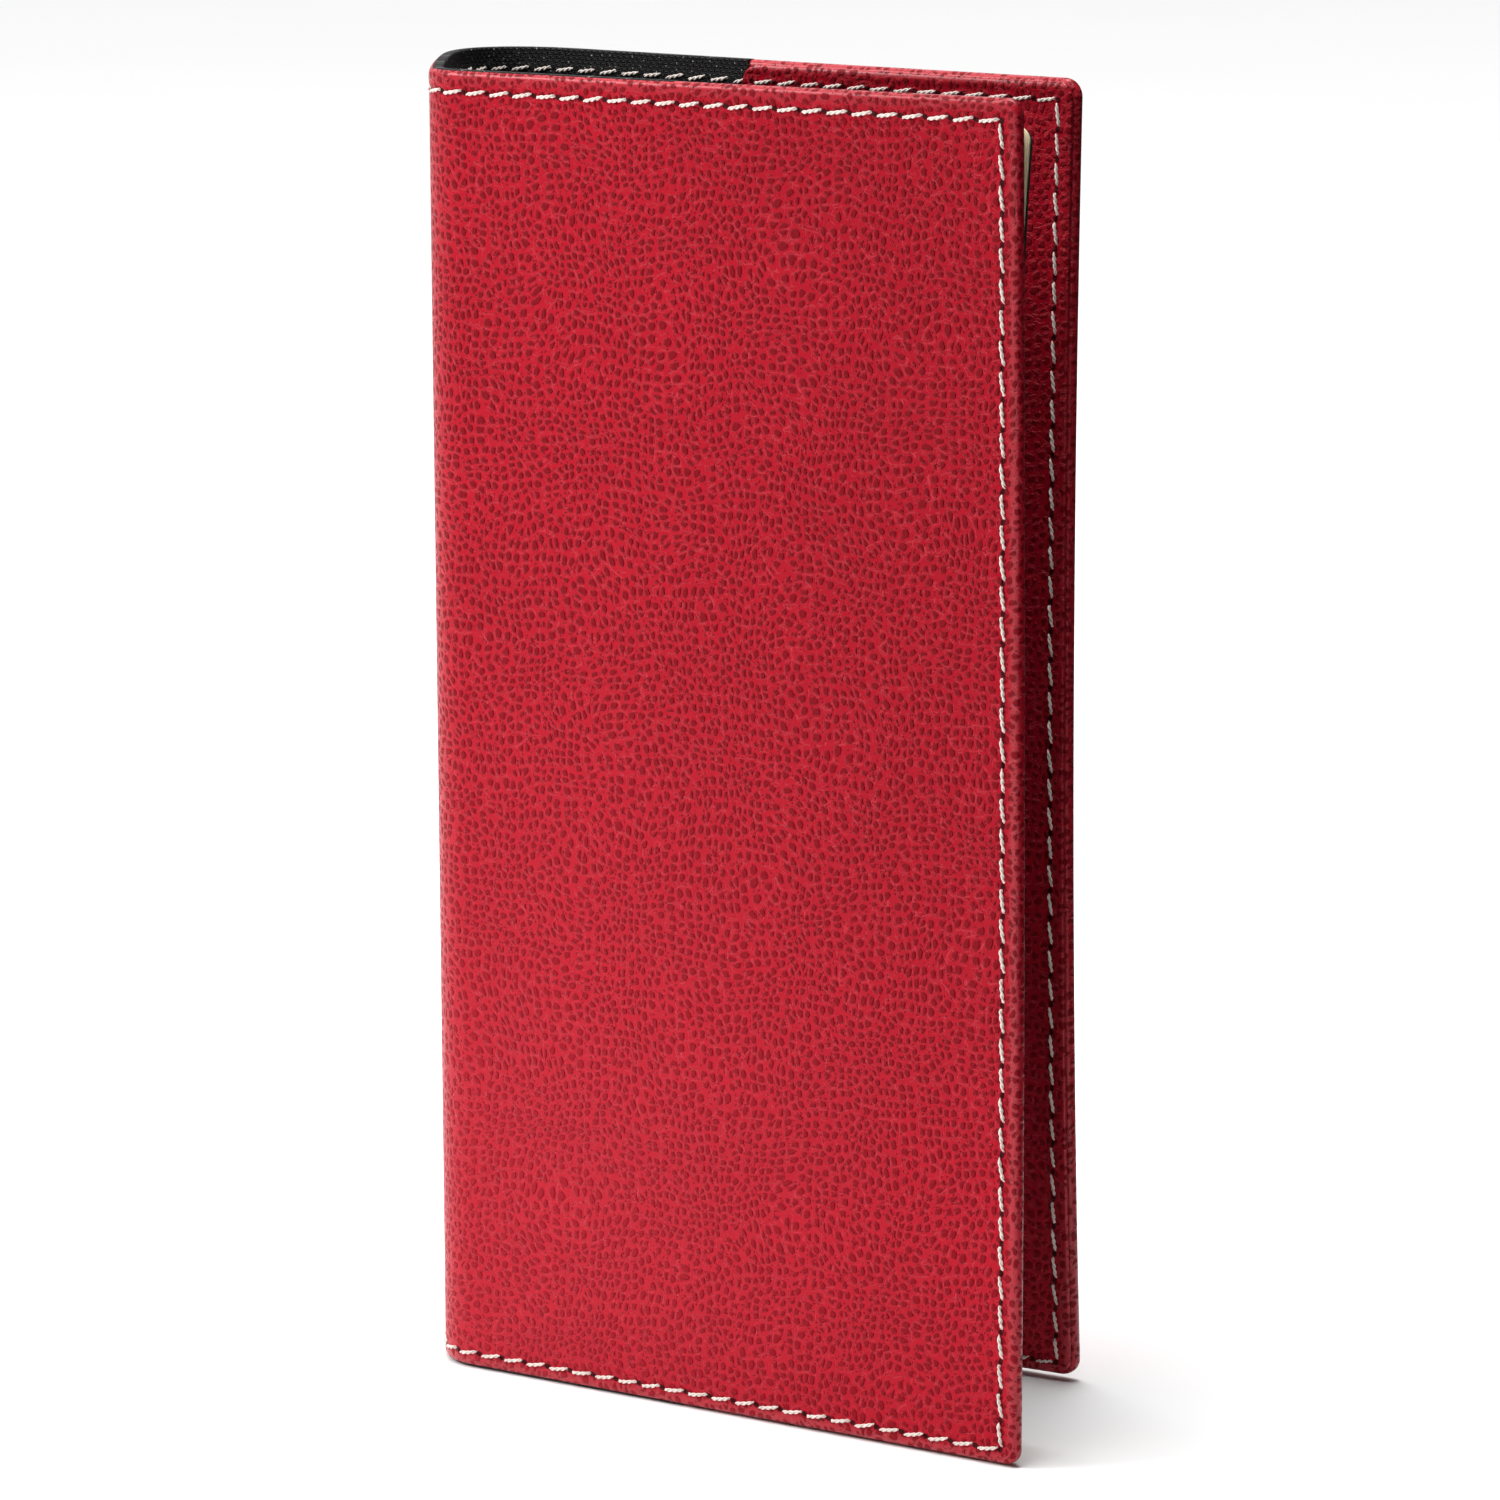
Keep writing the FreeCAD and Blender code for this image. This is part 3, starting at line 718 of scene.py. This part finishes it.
def flap_lift(gape):
    """The flap lies flat along its seam, is padded at its rim, and stands off the lining inside the seam.

    gape is how far the middle of its free edge stands off besides.
    """
    def lift(e, z):
        from_edge = np.minimum(np.minimum(e, z), CASE_HEIGHT - z)
        padded = 0.2 * np.exp(-(((from_edge - 1.3) / 0.75) ** 2))
        loose = np.clip((from_edge - SEWN_DOWN) / 4.0, 0, 1)
        across = np.clip((e - 12.0) / (FLAP_DEPTH - 12.0), 0, 1)
        up = np.clip(z / CASE_HEIGHT, 0, 1)
        return padded + POCKET * loose**2 * (3 - 2 * loose) + gape * across**2 * np.clip(4 * up * (1 - up), 0, 1)

    return lift


for side, body, fore_border, gape, grain_shift in (
    ("front", "front_cover", 1.1, 0.0, (-330.0, 21.0)),
    ("back", "back_cover", FLAP_BORDER, 0.5, (520.0, -37.0)),
):
    flap = layer(side + "_flap", side, (fore_border, FLAP_END), (FLAP_BORDER, CASE_HEIGHT - FLAP_BORDER),
                 (1.7, FLAP_FACE), 0.27, (CORNERS[side] - 0.3, 3.2), LEATHER,
                 steps=(1.6, 2.2), lift=flap_lift(gape), grain_shift=grain_shift)
    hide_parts(side + "_pocket_flap")
    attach(flap, body)


# ---------------------------------------------------------------- topstitching
# Cream two-ply thread in lockstitch, about 3.9 mm a stitch, round the whole case. The
# same stitches show inside, through the lining at the spine and through the flaps.

PLY_RADIUS = 0.145
PLY_ORBIT = 0.125
TWISTS = 1.9
LEAN = 0.16
RINGS, SIDES = 27, 8


def thread_tube(a, b, height, squeeze, base, out):
    """Points and faces of one ply along the line a, b, height, as a closed tube."""
    path = np.stack([a, b, height], 1)
    direction = np.gradient(path, axis=0)
    direction /= np.linalg.norm(direction, axis=1)[:, None]
    first = np.cross(direction, np.array([0.0, 0.0, 1.0]))
    first /= np.linalg.norm(first, axis=1)[:, None]
    second = np.cross(first, direction)
    turn = np.linspace(0, 2 * math.pi, SIDES, endpoint=False)[None, :, None]
    circle = np.cos(turn) * first[:, None, :] + np.sin(turn) * second[:, None, :]
    points = path[:, None, :] + (PLY_RADIUS * squeeze)[:, None, None] * circle

    r, c = np.meshgrid(np.arange(RINGS - 1), np.arange(SIDES), indexing="ij")
    p = (base + r * SIDES + c).ravel()
    q = (base + r * SIDES + (c + 1) % SIDES).ravel()
    quads = [np.stack([p, q, q + SIDES, p + SIDES], 1)]
    for ring_start, order in ((base, 1), (base + (RINGS - 1) * SIDES, -1)):
        cap = [ring_start + k for k in range(SIDES)][::-order]
        quads += [np.array([[cap[0], cap[k], cap[k + 1], cap[k + 2]]]) for k in range(1, SIDES - 2, 2)]
    quads = np.concatenate(quads)
    return points.reshape(-1, 3), quads if out > 0 else quads[:, ::-1]


def stitch(centre, along, across, out, half_pitch, lean, bow, seed):
    """Points, faces and flat places of one stitch. along and across are unit steps in (s, z)."""
    rng = np.random.default_rng(seed)
    t = np.linspace(-1, 1, RINGS)
    reach = half_pitch - 0.26
    start_twist = rng.uniform(0, 2 * math.pi)
    tilt = lean + rng.normal(0, 0.03)
    height = 0.05 + rng.normal(0, 0.02) - 0.62 * np.abs(t) ** 7
    sideways = tilt * reach * t + bow * (1 - t**2)
    squeeze = 1 - 0.42 * np.abs(t) ** 4
    plies = []
    for ply in range(2):
        angle = start_twist + ply * math.pi + TWISTS * 2 * math.pi * (t + 1) / 2
        orbit = PLY_ORBIT * squeeze
        plies.append(thread_tube(reach * t, sideways + orbit * np.cos(angle), height + orbit * np.sin(angle),
                                 squeeze, ply * RINGS * SIDES, out))
    points = np.concatenate([ply[0] for ply in plies])
    faces = np.concatenate([ply[1] for ply in plies])
    s = centre[0] + points[:, 0] * along[0] + points[:, 1] * across[0]
    z = centre[1] + points[:, 0] * along[1] + points[:, 1] * across[1]
    flat_places = points + (40.0 * (seed % 997), 0.0, 0.0)
    return case_points(s, z, centre[2] - out * points[:, 2]), faces, flat_places


def stitch_places(side, inside):
    """Every stitch on one half of the case: its e and z, direction, half pitch, lean and bow."""
    sign = 1 if side == "front" else -1
    lean = LEAN * sign * (1 if inside else -1)
    for z, bow in ((CASE_HEIGHT - HEAD_MARGIN, -0.07), (TAIL_MARGIN, -0.1)):
        for k in range(LONG_COUNT):
            e = FORE_MARGIN + (k + 0.5) * LONG_PITCH
            if e < HALVES[side]:
                yield e, z, (sign, 0), (0, 1), LONG_PITCH / 2, lean, bow
    for k in range(FORE_COUNT):
        yield (FORE_MARGIN, TAIL_MARGIN + (k + 0.5) * FORE_PITCH, (0, 1), (-sign, 0), FORE_PITCH / 2,
               lean, 0.0)


def make_thread():
    cream, bright_cream, pink_shade = (0.68, 0.58, 0.52, 1), (0.93, 0.86, 0.80, 1), (0.55, 0.40, 0.36, 1)
    material, nodes, shader = new_material("cream_thread", IOR=1.45, Sheen_Weight=0.25, Sheen_Roughness=0.5)
    place = nodes.field("thread_at")
    fibres = nodes.noise(nodes.vector("MULTIPLY", place, (1.5, 9.0, 9.0)), 1.6, 3.0, "3D").outputs["Fac"]
    cloud = nodes.noise(place, 0.35, 1.0, "3D").outputs["Fac"]
    colour = nodes.mix(nodes.ramp(fibres, 0.35, 0.65), cream, bright_cream)
    colour = nodes.mix(nodes.ramp(cloud, 0.45, 0.75, 0.0, 0.4), colour, pink_shade)
    nodes.wire(shader, Base_Color=colour, Roughness=nodes.ramp(fibres, 0.3, 0.7, 0.6, 0.85),
               Normal=nodes.bump(nodes.times(fibres, 0.06)))
    return material


THREAD = make_thread()


def topstitch(name, side, inside):
    stitches = []
    for number, (e, z, *rest) in enumerate(stitch_places(side, inside)):
        depth, out = 0.02, 1
        if inside:
            depth, out = (FLAP_FACE if e < FLAP_END else LINING_FACE) + 0.02, -1
        along, across, half_pitch, lean, bow = rest
        seed = number * 7 + 3 * inside + len(name)
        stitches.append(stitch((case_side(e, side), z, depth), along, across, out, half_pitch, lean, bow, seed))
    points, faces, places = joined(stitches)
    return make_piece(name, points, faces, {"thread_at": places}, THREAD)


for side, bend, nodes_replaced in (
    ("front", bend_front, ("front_seam", "front_fold_seam", "spine_seam")),
    ("back", bend_back, ("back_seam", "back_fold_seam")),
):
    outside = topstitch("topstitch_" + side, side, False)
    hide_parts(*nodes_replaced)
    bend(outside)
    bend(topstitch("topstitch_inside_" + side, side, True))


# ---------------------------------------------------------------- booklet
# The refill: twelve sewn sections of cream paper in a thin black card cover. The front card
# slips into the front cover's pocket, and the rest hangs loose from the booklet's spine.

CARD = make_pulp("black_card_cover", (0.018, 0.016, 0.018, 1), (0.013, 0.012, 0.013, 1), (0.05, 0.046, 0.05, 1),
                 0.02, 0.7)
PAPER = make_pulp("cream_paper", (0.90, 0.78, 0.54, 1), (0.86, 0.73, 0.49, 1), (0.92, 0.84, 0.64, 1), 0.015)
BOOK_TAIL, BOOK_HEAD = 4.3, 171.3
FRONT_CARD = (1.98, 2.2)
BACK_CARD = (10.68, 10.95)
PAGE_END = 81.2
PAGE_CORNER = 2.2
FIRST_PAGE = 3.1
SECTIONS = 12
SECTION_STEP = 0.62
SHEETS = 5
SHEET = 0.6 / SHEETS
REAR_FLARE = 4.3
FLARE_FADE = 25.0


def leaf_points(u, z, depth, flare):
    """A place in the booklet: u from the front fold, depth from the front's outer face.

    flare is how far its fore edge stands open at the head.
    """
    loose = np.clip((u - 20.0) / 61.0, 0, 1)
    open_up = flare * loose**2 * np.exp(-np.clip(BOOK_HEAD - z, 0, CASE_HEIGHT) / FLARE_FADE)
    return case_points(FRONT_LENGTH - u, z, depth + open_up)


def leaf(u_range, head, depths, corner, flare):
    """Points, faces and flat places of one leaf with rounded fore corners."""
    rounding = corner * np.array([0.0, 0.1, 0.25, 0.4, 0.6, 0.8])
    columns = np.concatenate([np.linspace(u_range[0], u_range[1] - corner, 16), u_range[1] - rounding[::-1]])
    rows = np.concatenate([BOOK_TAIL + rounding, np.linspace(BOOK_TAIL + corner, head - corner, 22),
                           head - rounding[::-1]])
    z, u = np.meshgrid(rows, columns, indexing="ij")
    u, z = round_corner(u, z, 0.0, u_range[1] - u, corner, (BOOK_TAIL, head), -1)[:2]
    points = np.concatenate([leaf_points(u, z, depth, flare).reshape(-1, 3) for depth in depths])
    flat = np.stack([u.ravel(), z.ravel(), np.full(u.size, depths[0] * 3)], 1)
    return points, sheet_faces(u.shape, True), np.concatenate([flat, flat])


def booklet_piece(name, leaves, material):
    points, faces, flats = joined(leaves)
    return make_piece(name, points, faces, {"grain_at": flats}, material, smooth=False)


front_card = booklet_piece("front_card", [leaf((1.0, 81.7), BOOK_HEAD, FRONT_CARD, 3.0, 0.0)], CARD)
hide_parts("booklet_front_card")
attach(front_card, "front_cover")

for number in range(1, SECTIONS + 1):
    share = (number / SECTIONS) ** 2
    rng = np.random.default_rng(number)
    leaves = []
    for sheet in range(SHEETS):
        folded_back = 0.18 if sheet in (0, SHEETS - 1) else 0.0
        edge = PAGE_END - 0.12 * rng.random() - folded_back
        head = BOOK_HEAD - 0.08 * rng.random()
        low = FIRST_PAGE + (number - 1) * SECTION_STEP + sheet * SHEET
        leaves.append(leaf((2.0, edge), head, (low + 0.01, low + SHEET - 0.012), PAGE_CORNER,
                           REAR_FLARE * share + 0.03 * sheet))
    section = booklet_piece("section_leaves_%02d" % number, leaves, PAPER)
    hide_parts("section_%02d" % number)
    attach(section, "leaves_%02d" % number)

back_card = booklet_piece(
    "back_card", [leaf((1.0, 81.15), BOOK_HEAD - 0.3, BACK_CARD, PAGE_CORNER, REAR_FLARE + 0.05)], CARD)
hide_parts("booklet_back_card")
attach(back_card, "booklet_back")


def spine_card_piece():
    """The card that goes round the back of the sections, with rounded bends into the front and back cards."""
    near, far = FRONT_CARD[0], BACK_CARD[1]
    depth = np.concatenate([np.linspace(near, 2.7, 6), np.linspace(3.1, 9.9, 24), np.linspace(10.25, far, 6)])
    curve = np.minimum(depth - near, far - depth)
    outer_u = 0.62 + 0.5 * np.clip(1 - curve / 0.7, 0, 1) ** 2
    z, d = np.meshgrid(np.linspace(BOOK_TAIL, BOOK_HEAD, 40), depth, indexing="ij")
    u = np.broadcast_to(outer_u, d.shape)
    points = np.concatenate([
        leaf_points(u, z, d, 0.0).reshape(-1, 3),
        leaf_points(u + 0.33, z, np.clip(d, FRONT_CARD[1], BACK_CARD[0]), 0.0).reshape(-1, 3),
    ])
    flat = np.stack([d.ravel(), z.ravel(), np.zeros(d.size)], 1)
    return make_piece("spine_card", points, sheet_faces(d.shape, False), {"grain_at": np.concatenate([flat, flat])},
                      CARD)


spine_card = spine_card_piece()
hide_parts("booklet_spine_card")
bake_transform(spine_card)


# ---------------------------------------------------------------- setting
# A pale floor, soft light from above and from the left with a black card on the right, and
# a long lens a little above the notebook's head.

def stage_sheet(name, corners, shades, cloud_scale, below=0.0, seen=True, **constants):
    """A flat sheet of the setting, matt and very faintly clouded."""
    mesh = bpy.data.meshes.new(name)
    mesh.from_pydata(corners, [], [(0, 1, 2, 3)])
    sheet = bpy.data.objects.new(name, mesh)
    bpy.context.scene.collection.objects.link(sheet)
    sheet.location.z = -below
    sheet.visible_camera = seen
    material, nodes, shader = new_material("matt_" + name, **constants)
    cloud = nodes.noise(nodes.add("TexCoord").outputs["Object"], cloud_scale, 2.0, "3D").outputs["Fac"]
    nodes.wire(shader, Base_Color=nodes.mix(cloud, *shades), Roughness=nodes.ramp(cloud, 0.0, 1.0, 0.85, 0.95))
    mesh.materials.append(material)


FLOOR_HALF = 6.0
stage_sheet("floor", [(x * FLOOR_HALF, y * FLOOR_HALF, 0) for x, y in ((-1, -1), (1, -1), (1, 1), (-1, 1))],
            [(0.90, 0.90, 0.90, 1), (0.93, 0.93, 0.93, 1)], 3.0, below=0.0003)

FLAG_NEAR, FLAG_FAR, FLAG_HEIGHT = (0.3187, -0.3423), (-0.3324, 0.8260), 0.45
stage_sheet("flag", [(*FLAG_NEAR, 0.001), (*FLAG_FAR, 0.001), (*FLAG_FAR, FLAG_HEIGHT), (*FLAG_NEAR, FLAG_HEIGHT)],
            [(0.01, 0.01, 0.01, 1), (0.015, 0.015, 0.015, 1)], 8.0, seen=False, Specular_IOR_Level=0.1)


def area_light(name, place, target, size, power):
    data = bpy.data.lights.new(name, "AREA")
    data.shape = "RECTANGLE"
    data.size, data.size_y = size
    data.energy = power
    lamp = bpy.data.objects.new(name, data)
    bpy.context.scene.collection.objects.link(lamp)
    lamp.location = place
    lamp.rotation_euler = (Vector(target) - Vector(place)).to_track_quat("-Z", "Y").to_euler()


def studio_world():
    """Bright overhead, dim near the horizon and dimmer to the right."""
    world = bpy.data.worlds.new("soft_studio")
    bpy.context.scene.world = world
    world.use_nodes = True
    nodes = Nodes(world.node_tree)
    background = world.node_tree.nodes["Background"]
    direction = nodes.add("TexCoord").outputs["Generated"]
    upward = nodes.add("SeparateXYZ", {"Vector": direction}).outputs[2]
    high = nodes.plus(0.3, nodes.times(nodes.ramp(upward, -0.05, 0.95), 1.35))
    to_right = nodes.add("VectorMath", {0: direction, 1: (0.94, -0.34, -0.25)}, operation="DOT_PRODUCT")
    dimmed = nodes.ramp(to_right.outputs["Value"], -0.3, 0.65, 1.0, 0.06)
    nodes.wire(background, Color=(1.0, 1.0, 1.0, 1), Strength=nodes.times(high, dimmed))


studio_world()
area_light("key", (-1.1, -0.85, 1.0), (0, 0, 0.08), (0.6, 0.6), 15.0)
area_light("overhead", (0.0, 0.0, 1.3), (0.02, 0.02, 0.0), (0.6, 0.5), 15.0)
bpy.context.scene.view_settings.view_transform = "Standard"

yaw, pitch, roll = math.radians(-35.46), math.radians(10.01), math.radians(-0.30)
forward = Vector((math.sin(yaw) * math.cos(pitch), math.cos(yaw) * math.cos(pitch), -math.sin(pitch)))
level_right = Vector((math.cos(yaw), -math.sin(yaw), 0))
level_up = level_right.cross(forward)
right = level_right * math.cos(roll) + level_up * math.sin(roll)
up = level_up * math.cos(roll) - level_right * math.sin(roll)
lens = bpy.data.cameras.new("camera")
lens.lens = 165.25
lens.sensor_width = 36.0
camera = bpy.data.objects.new("camera", lens)
camera.matrix_world = Matrix((right, up, -forward)).transposed().to_4x4()
camera.location = (0.52597, -0.73831, 0.2453)
bpy.context.scene.collection.objects.link(camera)
bpy.context.scene.camera = camera
